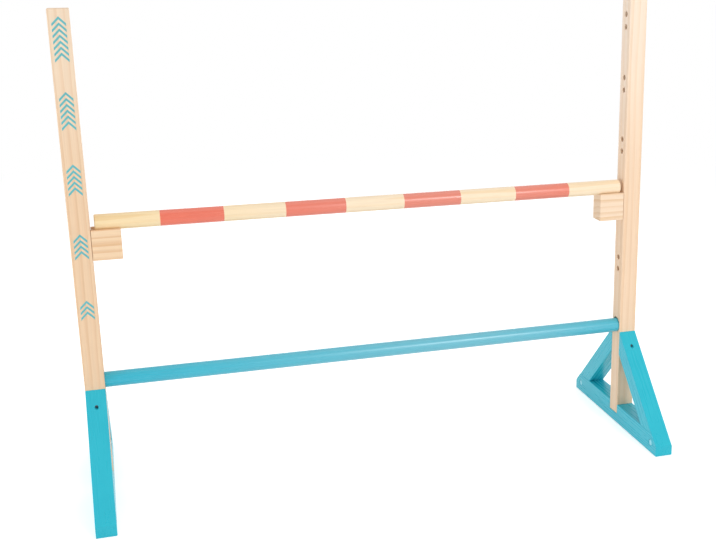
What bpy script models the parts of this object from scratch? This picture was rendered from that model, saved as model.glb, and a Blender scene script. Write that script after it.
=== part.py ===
"""Wooden jump hurdle: two A-footed stands, a stretcher, and a crossbar on two plug-in blocks.

Run with blender --background --python part.py, or from Blender's text editor.
Metres, +Z up. X runs along the crossbar, -Y is the front that a runner meets, and
the origin is on the floor in the middle of the hurdle.
"""
import math

import bmesh
import bpy
from mathutils import Matrix, Vector

# Driving dimensions of the square stock and the round bars
STOCK = 0.035               # side of the planed square stock: posts, legs, blocks
RAIL_HEIGHT = 0.040         # the base rails stand a little higher than the stock
SPAN = 1.008                # clear width between the two posts
POST_TOP = 0.863            # height of the posts above the floor
BAR_RADIUS = 0.014          # 28 mm dowel, for the crossbar and the stretcher
CROSSBAR_LENGTH = 0.995     # nine equal bands of colour
CROSSBAR_OFFSET = 0.001     # the loose bar has slid a little towards the right post
BAR_CHAMFER = 0.0015        # broken edge at each end of a bar
STRETCHER_HEIGHT = 0.211    # axis of the fixed lower bar

# Feet: each is a flat A of two legs at 45 degrees on a base rail
FOOT_REACH = 0.1975         # from the middle of the post to the tip of the rail
LEG_TOP = 0.200             # the feather edge of a leg on the post
LEG_FOOT = LEG_TOP - STOCK * math.sqrt(2)       # where its under side meets the post
TIP_HEIGHT = LEG_TOP + STOCK / 2 - FOOT_REACH   # upright end cut of the foot
NOTCH_DEPTH = RAIL_HEIGHT / 2                   # the post stands this deep in the rail
CORNER_DOWEL_RADIUS = 0.006
CORNER_DOWEL_SINK = 0.0006  # how far its ends lie below the painted faces

# Height settings: five pairs of blind sockets in each post, and the blocks that plug in
LEVELS = 5
FIRST_LEVEL = 0.343         # middle of the lowest pair
LEVEL_PITCH = 0.120
BLOCK_LEVEL = 2             # the setting in the photograph, counted from the floor
PEG_SPACING = 0.024
PEG_RADIUS = 0.005
PEG_REACH = 0.025           # how far a peg stands out of its block
PEG_ROUNDING = 0.0012
SOCKET_CLEARANCE = 0.0003   # all round the peg
SOCKET_DEPTH = 0.027
BLOCK_LENGTH = 0.050
BLOCK_HEIGHT = 0.054
BLOCK_GAP = 0.0005          # daylight between a block and its post
GROOVE_DEPTH = 0.0035       # how deep the crossbar lies in a block

# Screws
SHANK_RADIUS = 0.00175
HEAD_RADIUS = 0.0030
HEAD_HEIGHT = 0.0024
CROWN_RADIUS = 0.0024       # flat top of a head
RIM_HEIGHT = 0.0014         # upright rim of a head, below its rounding
SCREW_POINT = 0.0053        # length of the point
RECESS_RADIUS = 0.0033      # the bored recess that a head sits in
DRIVE_SIZE = 0.0028         # span of the cross in a screw's head
DRIVE_WIDTH = 0.0008
DRIVE_DEPTH = 0.0014
LEG_SCREW_HEIGHT = (LEG_TOP + LEG_FOOT) / 2
LEG_SCREW_HEAD = 0.0335     # from the post's middle to the seat of the head
LEG_SCREW_TIP = 0.0025      # how near the post's middle the point comes
FOOT_SCREW_SEAT = 0.008     # above the floor
FOOT_SCREW_LENGTH = 0.042
STRETCHER_SCREW_SINK = 0.006
STRETCHER_SCREW_LENGTH = 0.064

GAP = 0.0003                # between solids that touch
MORTISE_RADIUS = 0.0155     # a loose fit: the stretcher rests at the bottom of it
MORTISE_DEPTH = 0.006
MORTISE_HEIGHT = STRETCHER_HEIGHT + MORTISE_RADIUS - BAR_RADIUS - GAP
EASED_EDGE = 0.0015         # rounding of the long edges of the stock
BLOCK_EDGE = 0.0012
ROUND_SIDES = 32
SMALL_SIDES = 20
EDGE_STEPS = 2
MERGE = 0.00001             # points nearer than this are one
FLAT = 0.001                # radians between two faces that count as one
PARALLEL = 0.999            # cosine above which an edge runs along a direction
EMPTY_SIZE = 0.05

HALF = STOCK / 2
POST_X = SPAN / 2 + HALF    # middle of a post
SIDES = {"left": -1, "right": 1}
ENDS = {"front": -1, "rear": 1}


def clear_scene():
    for obj in list(bpy.data.objects):
        bpy.data.objects.remove(obj, do_unlink=True)
    for coll in list(bpy.data.collections):
        bpy.data.collections.remove(coll)


def new_collection(name):
    coll = bpy.data.collections.new(name)
    bpy.context.scene.collection.children.link(coll)
    return coll


def make_material(name, rgb, roughness, metallic=0.0):
    mat = bpy.data.materials.new(name)
    mat.use_nodes = True
    shader = mat.node_tree.nodes["Principled BSDF"]
    shader.inputs["Base Color"].default_value = (*rgb, 1.0)
    shader.inputs["Roughness"].default_value = roughness
    shader.inputs["Metallic"].default_value = metallic
    mat.diffuse_color = (*rgb, 1.0)
    return mat


clear_scene()
PARTS = new_collection("jump_hurdle")
CUTTERS = new_collection("cutters")
PINE = make_material("planed_pine", (0.86, 0.66, 0.42), 0.55)
TURQUOISE = make_material("turquoise_paint", (0.05, 0.49, 0.64), 0.40)
BEECH = make_material("beech_dowel", (0.74, 0.52, 0.32), 0.55)
STEEL = make_material("phosphated_steel", (0.10, 0.10, 0.11), 0.45, 1.0)


def file_object(obj, name, mat=None, parent=None):
    """Names an object, files it with the parts, or with the cutters if it has no material."""
    obj.name = name
    obj.data.name = name
    for coll in list(obj.users_collection):
        coll.objects.unlink(obj)
    if mat is None:
        CUTTERS.objects.link(obj)
        obj.hide_render = True
        obj.display_type = "WIRE"
    else:
        PARTS.objects.link(obj)
        obj.data.materials.clear()
        obj.data.materials.append(mat)
    if parent is not None:
        obj.parent = parent
        obj.matrix_parent_inverse = parent.matrix_world.inverted()
    return obj


def group_empty(name, location):
    empty = bpy.data.objects.new(name, None)
    empty.location = location
    empty.empty_display_size = EMPTY_SIZE
    PARTS.objects.link(empty)
    bpy.context.view_layer.update()
    return empty


def box(name, low, high, mat=None, parent=None):
    """A box between two corners, with its origin at its middle."""
    low, high = Vector(low), Vector(high)
    bpy.ops.mesh.primitive_cube_add(size=1.0, location=(low + high) / 2)
    obj = bpy.context.object
    obj.scale = high - low
    bpy.ops.object.transform_apply(location=False, rotation=False, scale=True)
    return file_object(obj, name, mat, parent)


def side_outline(name, points, x_low, x_high, mat=None, parent=None):
    """A flat outline in the Y-Z plane, given as (y, z) points, with a thickness along X."""
    curve = bpy.data.curves.new(name, "CURVE")
    curve.dimensions = "2D"
    curve.fill_mode = "BOTH"
    curve.extrude = (x_high - x_low) / 2
    spline = curve.splines.new("POLY")
    spline.points.add(len(points) - 1)
    for point, (y, z) in zip(spline.points, points):
        point.co = (y, z, 0.0, 1.0)
    spline.use_cyclic_u = True
    drawing = bpy.data.objects.new(name + "_outline", curve)
    bpy.context.scene.collection.objects.link(drawing)
    # the curve's X, Y and Z become the world's Y, Z and X
    drawing.matrix_world = Matrix.Translation(((x_low + x_high) / 2, 0, 0)) @ Matrix(
        ((0, 0, 1, 0), (1, 0, 0, 0), (0, 1, 0, 0), (0, 0, 0, 1)))
    bpy.context.view_layer.update()
    evaluated = drawing.evaluated_get(bpy.context.evaluated_depsgraph_get())
    mesh = bpy.data.meshes.new_from_object(evaluated)
    bm = bmesh.new()
    bm.from_mesh(mesh)
    bmesh.ops.remove_doubles(bm, verts=bm.verts, dist=MERGE)
    bmesh.ops.dissolve_limit(bm, angle_limit=FLAT, verts=bm.verts, edges=bm.edges)
    bmesh.ops.recalc_face_normals(bm, faces=bm.faces)
    bm.to_mesh(mesh)
    bm.free()
    obj = bpy.data.objects.new(name, mesh)
    bpy.context.scene.collection.objects.link(obj)
    obj.matrix_world = drawing.matrix_world
    bpy.data.objects.remove(drawing, do_unlink=True)
    return file_object(obj, name, mat, parent)


def turned(name, profile, start, direction, mat=None, parent=None, sides=ROUND_SIDES):
    """A round piece: (radius, distance) points from its start, turned about a world direction."""
    length = profile[-1][1]
    mesh = bpy.data.meshes.new(name)
    # the profile runs down the outer side, so the far end comes first
    points = [(radius, 0.0, along) for radius, along in reversed(profile)]
    mesh.from_pydata(points, [(i, i + 1) for i in range(len(points) - 1)], [])
    obj = bpy.data.objects.new(name, mesh)
    bpy.context.scene.collection.objects.link(obj)
    obj.location = start
    obj.rotation_mode = "QUATERNION"
    obj.rotation_quaternion = Vector(direction).to_track_quat("Z", "Y")
    screw = obj.modifiers.new("turn", "SCREW")
    screw.steps = sides
    screw.render_steps = sides
    screw.use_merge_vertices = True
    screw.merge_threshold = MERGE
    screw.use_smooth_shade = True
    print(f"{name}: {length * 1000:.1f} mm long")
    return file_object(obj, name, mat, parent)


def rod_profile(radius, length, chamfer):
    return [(0.0, 0.0), (radius - chamfer, 0.0), (radius, chamfer),
            (radius, length - chamfer), (radius - chamfer, length), (0.0, length)]


def cut(obj, cutter):
    boolean = obj.modifiers.new(cutter.name, "BOOLEAN")
    boolean.operation = "DIFFERENCE"
    boolean.solver = "EXACT"
    boolean.object = cutter


def bore(obj, name, start, direction, depth, radius, sides=SMALL_SIDES):
    """Drills a flat-bottomed hole that starts at a point and runs along a direction."""
    middle = Vector(start) + Vector(direction) * depth / 2
    bpy.ops.mesh.primitive_cylinder_add(vertices=sides, radius=radius, depth=depth, location=middle)
    drill = bpy.context.object
    drill.rotation_mode = "QUATERNION"
    drill.rotation_quaternion = Vector(direction).to_track_quat("Z", "Y")
    cut(obj, file_object(drill, f"{obj.name}_{name}"))


def ease_edges(obj, along, width=EASED_EDGE):
    """Rounds the edges that run along a world direction, and leaves saw cuts sharp."""
    turn = obj.matrix_world.to_3x3()
    along = Vector(along).normalized()
    weights = obj.data.attributes.new("bevel_weight_edge", "FLOAT", "EDGE")
    for edge in obj.data.edges:
        start, end = (obj.data.vertices[i].co for i in edge.vertices)
        run = (turn @ (end - start)).normalized()
        weights.data[edge.index].value = 1.0 if abs(run.dot(along)) > PARALLEL else 0.0
    bevel = obj.modifiers.new("eased_edges", "BEVEL")
    bevel.limit_method = "WEIGHT"
    bevel.width = width
    bevel.segments = EDGE_STEPS


def soften(obj, width):
    """Rounds every edge of a piece."""
    bevel = obj.modifiers.new("softened", "BEVEL")
    bevel.width = width
    bevel.segments = EDGE_STEPS


def level_height(level):
    """The middle of a socket pair; level 1 is the lowest."""
    return FIRST_LEVEL + (level - 1) * LEVEL_PITCH


def peg_heights(level):
    middle = level_height(level)
    return {"lower": middle - PEG_SPACING / 2, "upper": middle + PEG_SPACING / 2}


def wood_screw(name, seat, direction, length, parent):
    """A screw whose head sits at seat, on the side away from direction, with a cross drive."""
    profile = [(0.0, -HEAD_HEIGHT), (CROWN_RADIUS, -HEAD_HEIGHT), (HEAD_RADIUS, -RIM_HEIGHT),
               (HEAD_RADIUS, 0.0), (SHANK_RADIUS, 0.0), (SHANK_RADIUS, length - SCREW_POINT), (0.0, length)]
    screw = turned(name, profile, seat, direction, STEEL, parent, SMALL_SIDES)
    for number, (wide, high) in enumerate(((DRIVE_SIZE, DRIVE_WIDTH), (DRIVE_WIDTH, DRIVE_SIZE))):
        bpy.ops.mesh.primitive_cube_add(size=1.0)
        slot = bpy.context.object
        slot.scale = (wide, high, 2 * DRIVE_DEPTH)
        bpy.ops.object.transform_apply(location=False, rotation=False, scale=True)
        slot.rotation_mode = "QUATERNION"
        slot.rotation_quaternion = screw.rotation_quaternion
        slot.location = Vector(seat) - Vector(direction) * HEAD_HEIGHT
        cut(screw, file_object(slot, f"{name}_slot_{number}"))
    return screw


def build_post(side, sign, stand):
    x = sign * POST_X
    inward = (-sign, 0, 0)
    face = sign * SPAN / 2
    post = box(f"{side}_post", (x - HALF, -HALF, NOTCH_DEPTH + GAP), (x + HALF, HALF, POST_TOP), PINE, stand)
    soften(post, EASED_EDGE)
    for level in range(1, LEVELS + 1):
        for place, z in peg_heights(level).items():
            mouth = (face - sign * GAP, 0, z)
            bore(post, f"socket_{level}_{place}", mouth, (sign, 0, 0), SOCKET_DEPTH + GAP,
                 PEG_RADIUS + SOCKET_CLEARANCE)
    for end, way in ENDS.items():
        start = (x, way * (HALF + GAP), LEG_SCREW_HEIGHT)
        bore(post, f"{end}_pilot", start, (0, -way, 0), HALF - LEG_SCREW_TIP + 2 * GAP, SHANK_RADIUS + GAP)
    bore(post, "stretcher_mortise", (face - sign * GAP, 0, MORTISE_HEIGHT), (sign, 0, 0), MORTISE_DEPTH + GAP,
         MORTISE_RADIUS)
    outside = sign * (SPAN / 2 + STOCK + GAP)
    bore(post, "stretcher_recess", (outside, 0, STRETCHER_HEIGHT), inward,
         STRETCHER_SCREW_SINK + GAP, RECESS_RADIUS)
    bore(post, "stretcher_hole", (outside, 0, STRETCHER_HEIGHT), inward, STOCK + 2 * GAP, SHANK_RADIUS + GAP)
    foot_pilot = FOOT_SCREW_LENGTH + FOOT_SCREW_SEAT - NOTCH_DEPTH + GAP
    bore(post, "foot_pilot", (x, 0, NOTCH_DEPTH), (0, 0, 1), foot_pilot, SHANK_RADIUS + GAP)
    return post


def build_rail(side, sign, stand):
    """The base rail: notched for the post, lapped to half its thickness at both ends."""
    x = sign * POST_X
    tip = (FOOT_REACH, TIP_HEIGHT)
    shoulder = (FOOT_REACH - (RAIL_HEIGHT - TIP_HEIGHT), RAIL_HEIGHT)
    outline = [(-FOOT_REACH, 0), (FOOT_REACH, 0), tip, shoulder,
               (-shoulder[0], shoulder[1]), (-tip[0], tip[1])]
    rail = side_outline(f"{side}_base_rail", outline, x - HALF, x + HALF, TURQUOISE, stand)
    ease_edges(rail, (0, 1, 0))
    notch = box(f"{side}_rail_notch", (x - STOCK, -HALF - GAP, NOTCH_DEPTH),
                (x + STOCK, HALF + GAP, RAIL_HEIGHT + STOCK))
    cut(rail, notch)
    for end, way in ENDS.items():
        # the outer half goes, up to the line of the leg's under side
        under = HALF + LEG_FOOT - GAP * math.sqrt(2)
        beyond = FOOT_REACH + STOCK
        lap = [(way * (under + STOCK), -STOCK), (way * beyond, -STOCK), (way * beyond, 2 * STOCK),
               (way * (under - 2 * STOCK), 2 * STOCK)]
        inner, outer = sorted((x, x + sign * STOCK))
        cut(rail, side_outline(f"{side}_{end}_rail_lap", lap, inner, outer))
        drill_corner(rail, side, sign, end, way)
    bore(rail, "foot_recess", (x, 0, -GAP), (0, 0, 1), FOOT_SCREW_SEAT + GAP, RECESS_RADIUS)
    bore(rail, "foot_hole", (x, 0, -GAP), (0, 0, 1), RAIL_HEIGHT, SHANK_RADIUS + GAP)
    return rail


def corner_centre(way):
    """The middle of a half-lap, where the leg crosses the rail."""
    z = RAIL_HEIGHT / 2
    under = HALF + LEG_FOOT - z
    return way * (under + FOOT_REACH) / 2, z


def drill_corner(obj, side, sign, end, way):
    y, z = corner_centre(way)
    start = (sign * (POST_X + STOCK), y, z)
    bore(obj, f"{side}_{end}_dowel_hole", start, (-sign, 0, 0), 2 * STOCK, CORNER_DOWEL_RADIUS + GAP)


def build_leg(side, sign, end, way, stand):
    """A leg at 45 degrees: a feather edge on the post, and a half-lap over the end of the rail."""
    x = sign * POST_X
    post_face = HALF + GAP
    outline = [(post_face, LEG_TOP - GAP), (post_face, LEG_FOOT - GAP), (HALF + LEG_FOOT, 0),
               (FOOT_REACH, 0), (FOOT_REACH, TIP_HEIGHT)]
    leg = side_outline(f"{side}_{end}_leg", [(way * y, z) for y, z in outline], x - HALF, x + HALF,
                       TURQUOISE, stand)
    ease_edges(leg, (0, way, -1))
    low, high = sorted((x + sign * GAP, x - sign * STOCK))
    cheek = box(f"{side}_{end}_leg_lap", (low, -2 * FOOT_REACH, -STOCK), (high, 2 * FOOT_REACH, RAIL_HEIGHT + GAP))
    cut(leg, cheek)
    drill_corner(leg, side, sign, end, way)
    head_seat = (x, way * LEG_SCREW_HEAD, LEG_SCREW_HEIGHT)
    bore(leg, "screw_recess", head_seat, (0, way, 0), STOCK, RECESS_RADIUS)
    bore(leg, "screw_hole", head_seat, (0, -way, 0), LEG_SCREW_HEAD, SHANK_RADIUS + GAP)
    return leg


def build_stand(side, sign):
    stand = group_empty(f"{side}_stand", (sign * POST_X, 0, 0))
    build_post(side, sign, stand)
    build_rail(side, sign, stand)
    for end, way in ENDS.items():
        build_leg(side, sign, end, way, stand)
        y, z = corner_centre(way)
        length = STOCK - 2 * CORNER_DOWEL_SINK
        start = (sign * POST_X - length / 2, y, z)
        turned(f"{side}_{end}_corner_dowel", rod_profile(CORNER_DOWEL_RADIUS, length, CORNER_DOWEL_SINK),
               start, (1, 0, 0), TURQUOISE, stand, SMALL_SIDES)
        seat = (sign * POST_X, way * (LEG_SCREW_HEAD + GAP), LEG_SCREW_HEIGHT)
        wood_screw(f"{side}_{end}_leg_screw", seat, (0, -way, 0), LEG_SCREW_HEAD - LEG_SCREW_TIP, stand)
    wood_screw(f"{side}_foot_screw", (sign * POST_X, 0, FOOT_SCREW_SEAT - GAP), (0, 0, 1),
               FOOT_SCREW_LENGTH, stand)
    seat = sign * (SPAN / 2 + STOCK - STRETCHER_SCREW_SINK + GAP)
    wood_screw(f"{side}_stretcher_screw", (seat, 0, STRETCHER_HEIGHT), (-sign, 0, 0),
               STRETCHER_SCREW_LENGTH, stand)


def build_stretcher():
    """The fixed lower bar: its ends stand in shallow mortises and are screwed from outside."""
    half_length = SPAN / 2 + MORTISE_DEPTH - GAP
    bar = turned("stretcher_bar", rod_profile(BAR_RADIUS, 2 * half_length, BAR_CHAMFER),
                 (-half_length, 0, STRETCHER_HEIGHT), (1, 0, 0), TURQUOISE)
    pilot = STRETCHER_SCREW_LENGTH - STOCK + STRETCHER_SCREW_SINK + GAP + MORTISE_DEPTH
    for side, sign in SIDES.items():
        start = (sign * (half_length + GAP), 0, STRETCHER_HEIGHT)
        bore(bar, f"{side}_pilot", start, (-sign, 0, 0), pilot, SHANK_RADIUS + GAP)


def crossbar_height():
    return level_height(BLOCK_LEVEL) + BLOCK_HEIGHT / 2 - GROOVE_DEPTH + BAR_RADIUS


def build_crossbar():
    start = (CROSSBAR_OFFSET - CROSSBAR_LENGTH / 2, 0, crossbar_height())
    turned("crossbar", rod_profile(BAR_RADIUS, CROSSBAR_LENGTH, BAR_CHAMFER), start, (1, 0, 0), PINE)


def build_block(side, sign):
    """A support block: grooved across its top, with two glued pegs that plug into the post."""
    face = sign * (SPAN / 2 - BLOCK_GAP)
    far = face - sign * BLOCK_LENGTH
    middle = level_height(BLOCK_LEVEL)
    low, high = sorted((face, far))
    block = box(f"{side}_support_block", (low, -HALF, middle - BLOCK_HEIGHT / 2),
                (high, HALF, middle + BLOCK_HEIGHT / 2), PINE)
    soften(block, BLOCK_EDGE)
    bpy.context.view_layer.update()
    bore(block, "groove", (face + sign * STOCK, 0, crossbar_height()), (-sign, 0, 0), 3 * BLOCK_LENGTH,
         BAR_RADIUS + GAP, 2 * ROUND_SIDES)
    for place, z in peg_heights(BLOCK_LEVEL).items():
        hole = PEG_REACH + GAP
        bore(block, f"{place}_peg_hole", (face + sign * GAP, 0, z), (-sign, 0, 0), hole + GAP,
             PEG_RADIUS + GAP)
        start = (face + sign * PEG_REACH, 0, z)
        turned(f"{side}_{place}_peg", rod_profile(PEG_RADIUS, 2 * PEG_REACH, PEG_ROUNDING), start,
               (-sign, 0, 0), BEECH, block, SMALL_SIDES)


for SIDE, SIGN in SIDES.items():
    build_stand(SIDE, SIGN)
    build_block(SIDE, SIGN)
build_stretcher()
build_crossbar()
print("crossbar axis at", round(crossbar_height() * 1000, 1), "mm above the floor")
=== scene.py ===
# %% [markdown]
# A wooden jump hurdle: two pine posts on turquoise A-shaped feet, a fixed turquoise stretcher low
# down, and a loose banded crossbar on two blocks that plug into the posts at one of five heights.
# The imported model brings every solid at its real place, in metres, with +Z up. The crossbar runs
# along X and the runner comes from -Y. It is loaded first, because each piece that is modelled
# below takes its size and its place from it.

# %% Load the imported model
import math

import bmesh
import bpy
from mathutils import Matrix, Vector


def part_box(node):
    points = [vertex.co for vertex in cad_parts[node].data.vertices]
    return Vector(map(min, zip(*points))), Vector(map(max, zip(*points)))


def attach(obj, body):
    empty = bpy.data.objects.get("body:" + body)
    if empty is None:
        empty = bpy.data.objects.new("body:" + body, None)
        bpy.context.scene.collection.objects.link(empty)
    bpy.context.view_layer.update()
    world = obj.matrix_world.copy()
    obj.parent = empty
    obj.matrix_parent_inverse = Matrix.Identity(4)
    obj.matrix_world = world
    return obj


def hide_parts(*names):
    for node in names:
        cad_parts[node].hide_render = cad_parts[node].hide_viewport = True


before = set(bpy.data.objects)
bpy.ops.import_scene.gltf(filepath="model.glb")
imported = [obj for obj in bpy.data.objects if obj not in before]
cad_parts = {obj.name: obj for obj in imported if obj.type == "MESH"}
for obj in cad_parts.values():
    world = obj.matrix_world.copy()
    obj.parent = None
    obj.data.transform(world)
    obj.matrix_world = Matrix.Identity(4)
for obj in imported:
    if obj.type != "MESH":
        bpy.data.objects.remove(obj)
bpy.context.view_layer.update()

# %% [markdown]
# The camera comes early, so that each stage can be rendered. It stands about two metres in front
# of the left post, at eye height of a child, and looks a little to the right and down. The
# photograph was cropped off centre, which a shifted lens gives without turning the camera.

# %% Camera at the photograph's viewpoint
PHOTO_WIDTH, PHOTO_HEIGHT = 716, 540
PRINCIPAL_X, PRINCIPAL_Y = 470, 280.5
FOCAL_PIXELS = 1139.5
SENSOR = 36.0
CAMERA_PLACE = (-0.4647, -2.0369, 0.9431)
CAMERA_YAW = math.radians(-17.77)
CAMERA_PITCH = math.radians(15.90)
CAMERA_ROLL = math.radians(0.21)

bpy.ops.object.select_all(action="DESELECT")
bpy.ops.object.camera_add()
camera = bpy.context.object
camera.name = "photograph_camera"
camera.matrix_world = (Matrix.Translation(CAMERA_PLACE)
                       @ Matrix.Rotation(CAMERA_YAW, 4, "Z")
                       @ Matrix.Rotation(math.pi / 2 - CAMERA_PITCH, 4, "X")
                       @ Matrix.Rotation(-CAMERA_ROLL, 4, "Z"))
camera.data.sensor_width = SENSOR
camera.data.lens = FOCAL_PIXELS / PHOTO_WIDTH * SENSOR
camera.data.shift_x = (PHOTO_WIDTH / 2 - PRINCIPAL_X) / PHOTO_WIDTH
camera.data.shift_y = (PRINCIPAL_Y - PHOTO_HEIGHT / 2) / PHOTO_WIDTH
bpy.context.scene.camera = camera
print(f"lens {camera.data.lens:.1f} mm, shift {camera.data.shift_x:.3f} {camera.data.shift_y:.3f}")

# %% [markdown]
# Blender's modelling tools act on whatever is selected, so a script needs a few hand tools: one
# that picks a single piece, one that opens it in edit mode, and one that selects the edges or
# faces that a test picks out by their place or direction.

# %% Hand tools for picking
def pick(piece):
    """Makes piece the only selected object, and the active one."""
    bpy.ops.object.select_all(action="DESELECT")
    piece.select_set(True)
    bpy.context.view_layer.objects.active = piece


def open_up(piece, kind="FACE"):
    """Enters edit mode on piece with everything selected."""
    pick(piece)
    bpy.ops.object.mode_set(mode="EDIT")
    bpy.ops.mesh.select_mode(type=kind)
    bpy.ops.mesh.select_all(action="SELECT")


def choose(piece, kind, wanted):
    """Enters edit mode and selects the items of a kind, EDGE or FACE, that pass the test wanted."""
    open_up(piece, kind)
    bpy.ops.mesh.select_all(action="DESELECT")
    mesh = bmesh.from_edit_mesh(piece.data)
    for item in {"EDGE": mesh.edges, "FACE": mesh.faces}[kind]:
        if wanted(item):
            item.select_set(True)
    bmesh.update_edit_mesh(piece.data)


def close_up():
    """Goes back to object mode."""
    bpy.ops.object.mode_set(mode="OBJECT")

# %% [markdown]
# All the square timber starts as a planed stick, and all the round timber as a disc that is drawn
# out ring by ring, the way a lathe leaves one diameter after another. Both get their place
# written into the mesh at once, so that the object stays at the origin and a wood pattern on
# Object coordinates keeps still on it.

# %% Sticks and rods
def settle(piece, name):
    """Names a fresh primitive and moves its place and size into its mesh."""
    pick(piece)
    bpy.ops.object.transform_apply(location=True, rotation=True, scale=True)
    piece.name = name
    piece.data.name = name
    return piece


def stick(name, low, high, turn=(0, 0, 0)):
    """A square stick between two corners, turned about its middle."""
    low, high = Vector(low), Vector(high)
    bpy.ops.object.select_all(action="DESELECT")
    bpy.ops.mesh.primitive_cube_add(size=1, location=(low + high) / 2, rotation=turn)
    bpy.context.object.scale = high - low
    return settle(bpy.context.object, name)


def rod(name, rings, start, direction, sides):
    """A round piece drawn out from a disc: rings are pairs of radius and distance from start."""
    start, direction = Vector(start), Vector(direction).normalized()
    bpy.ops.object.select_all(action="DESELECT")
    radius, reached = rings[0]
    bpy.ops.mesh.primitive_circle_add(vertices=sides, radius=radius, fill_type="NGON",
                                      location=start + direction * reached,
                                      rotation=direction.to_track_quat("Z", "Y").to_euler())
    piece = settle(bpy.context.object, name)
    open_up(piece)
    for next_radius, distance in rings[1:]:
        step = direction * (distance - reached)
        bpy.ops.mesh.extrude_region_move(TRANSFORM_OT_translate={"value": step})
        growth = next_radius / radius
        if growth != 1:
            bpy.ops.transform.resize(value=(growth,) * 3, center_override=start + direction * distance)
        radius, reached = next_radius, distance
    bpy.ops.mesh.select_all(action="SELECT")
    bpy.ops.mesh.normals_make_consistent(inside=False)
    close_up()
    return piece

# %% [markdown]
# A joiner's next tools are the plane, the saw and the drill. Planing rounds chosen edges, which is
# a bevel of several segments. A saw cut is a bisect that drops one side and fills the cut. Holes,
# notches and laps are taken out with a boolean, and its cutter is thrown away afterwards.

# %% Plane, saw and cutter
EDGE_STEPS = 4                          # faces across a rounded edge


def round_edges(piece, width, wanted=lambda edge: True):
    """Rounds all edges, or only those that pass the test wanted."""
    choose(piece, "EDGE", wanted)
    bpy.ops.mesh.bevel(offset=width, segments=EDGE_STEPS, affect="EDGES")
    close_up()


def saw(piece, point, away, fill=True):
    """Cuts the piece flat through a point, and drops the side that away points to."""
    open_up(piece)
    bpy.ops.mesh.bisect(plane_co=point, plane_no=away, use_fill=fill, clear_outer=True)
    close_up()


def cut_away(piece, cutters):
    """Takes each cutter's shape out of the piece."""
    for cutter in cutters:
        boolean = piece.modifiers.new("cut", "BOOLEAN")
        boolean.operation = "DIFFERENCE"
        boolean.solver = "EXACT"
        boolean.object = cutter
        pick(piece)
        bpy.ops.object.modifier_apply(modifier=boolean.name)
        bpy.data.objects.remove(cutter, do_unlink=True)


def copy_of(piece, name, move):
    """A copy with its own mesh, moved by a matrix."""
    twin = piece.copy()
    twin.data = piece.data.copy()
    twin.data.transform(move)
    twin.name = name
    twin.data.name = name
    bpy.context.scene.collection.objects.link(twin)
    return twin


def joined(pieces, name):
    """Several pieces as one object."""
    pick(pieces[0])
    for piece in pieces[1:]:
        piece.select_set(True)
    bpy.ops.object.join()
    pieces[0].name = name
    pieces[0].data.name = name
    return pieces[0]

# %% [markdown]
# Light shows the difference between a planed face and its rounded edge, so shading matters. Edges
# sharper than 35 degrees stay crisp, the rest are smooth, and a weighted normal keeps the broad
# faces flat where they meet the small bevels. The last step gives a piece its material, puts it on
# the empty of the body that carries it, and hides the solids of the imported model that it stands for.

# %% Finishing and handing over
CRISP_ANGLE = math.radians(35)


def finish(piece, material, body, slot, *solids):
    """Shades a piece, gives it its finish, and puts it on a body in the place of some solids."""
    pick(piece)
    bpy.ops.object.shade_smooth_by_angle(angle=CRISP_ANGLE)
    weighted = piece.modifiers.new("flat_faces", "WEIGHTED_NORMAL")
    weighted.keep_sharp = True
    bpy.ops.object.modifier_apply(modifier=weighted.name)
    piece.data.materials.clear()
    piece.data.materials.append(material)
    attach(piece, body)
    if solids:
        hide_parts(*solids)
    print(f"{piece.name}: {len(piece.data.polygons)} faces")

# %% [markdown]
# Colours are written as sRGB hex, as a paint card gives them, and one function turns them into the
# linear values that a shader needs. One more function adds a node with its settings and links, so
# that a material reads as a list of what feeds what.

# %% Colour and node helpers
MM = 0.001
WHITE = (1, 1, 1, 1)
NOISE_LOW, NOISE_HIGH = 0.3, 0.7        # nearly all of a noise lies between these
BUMP_STRENGTH = 0.5


def linear(code):
    """Linear RGBA from a hex colour such as #40BCD2, by the curve of the sRGB standard."""
    values = [int(code[i:i + 2], 16) / 255 for i in (1, 3, 5)]
    return (*[v / 12.92 if v <= 0.04045 else ((v + 0.055) / 1.055) ** 2.4 for v in values], 1.0)


def add_node(tree, kind, inputs=None, **settings):
    """Adds a node; an input is given a value, or the socket that feeds it."""
    node = tree.nodes.new("ShaderNode" + kind)
    for key, value in settings.items():
        setattr(node, key, value)
    for key, value in (inputs or {}).items():
        if isinstance(value, bpy.types.NodeSocket):
            tree.links.new(value, node.inputs[key])
        else:
            node.inputs[key].default_value = value
    return node


def new_material(name):
    """An empty node material and its tree."""
    material = bpy.data.materials.new(name)
    material.use_nodes = True
    material.node_tree.nodes.clear()
    return material, material.node_tree


def put_out(tree, shader):
    """Feeds a shader to the material's output."""
    add_node(tree, "OutputMaterial", {"Surface": shader.outputs[0]})

# %% [markdown]
# Planed pine is pale early wood crossed by thin, darker late wood, one pair a year. A solid
# pattern gives all faces of a stick at once: rings about a pith that lies outside the stick, bent
# by slow noise, so long faces show streaks and the end shows arcs. A saw-tooth wave suits it,
# because late wood darkens slowly through the summer and stops at once in winter. No two years
# are alike, so a noise along the radius makes the rings uneven, and each has its own strength.
# Real rings are 2 to 5 mm apart and real fibres far thinner. At two millimetres to a pixel both
# would be lost, so the pine's rings are drawn 9 to 13 mm apart and its fibres 1.8 mm wide.

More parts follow.
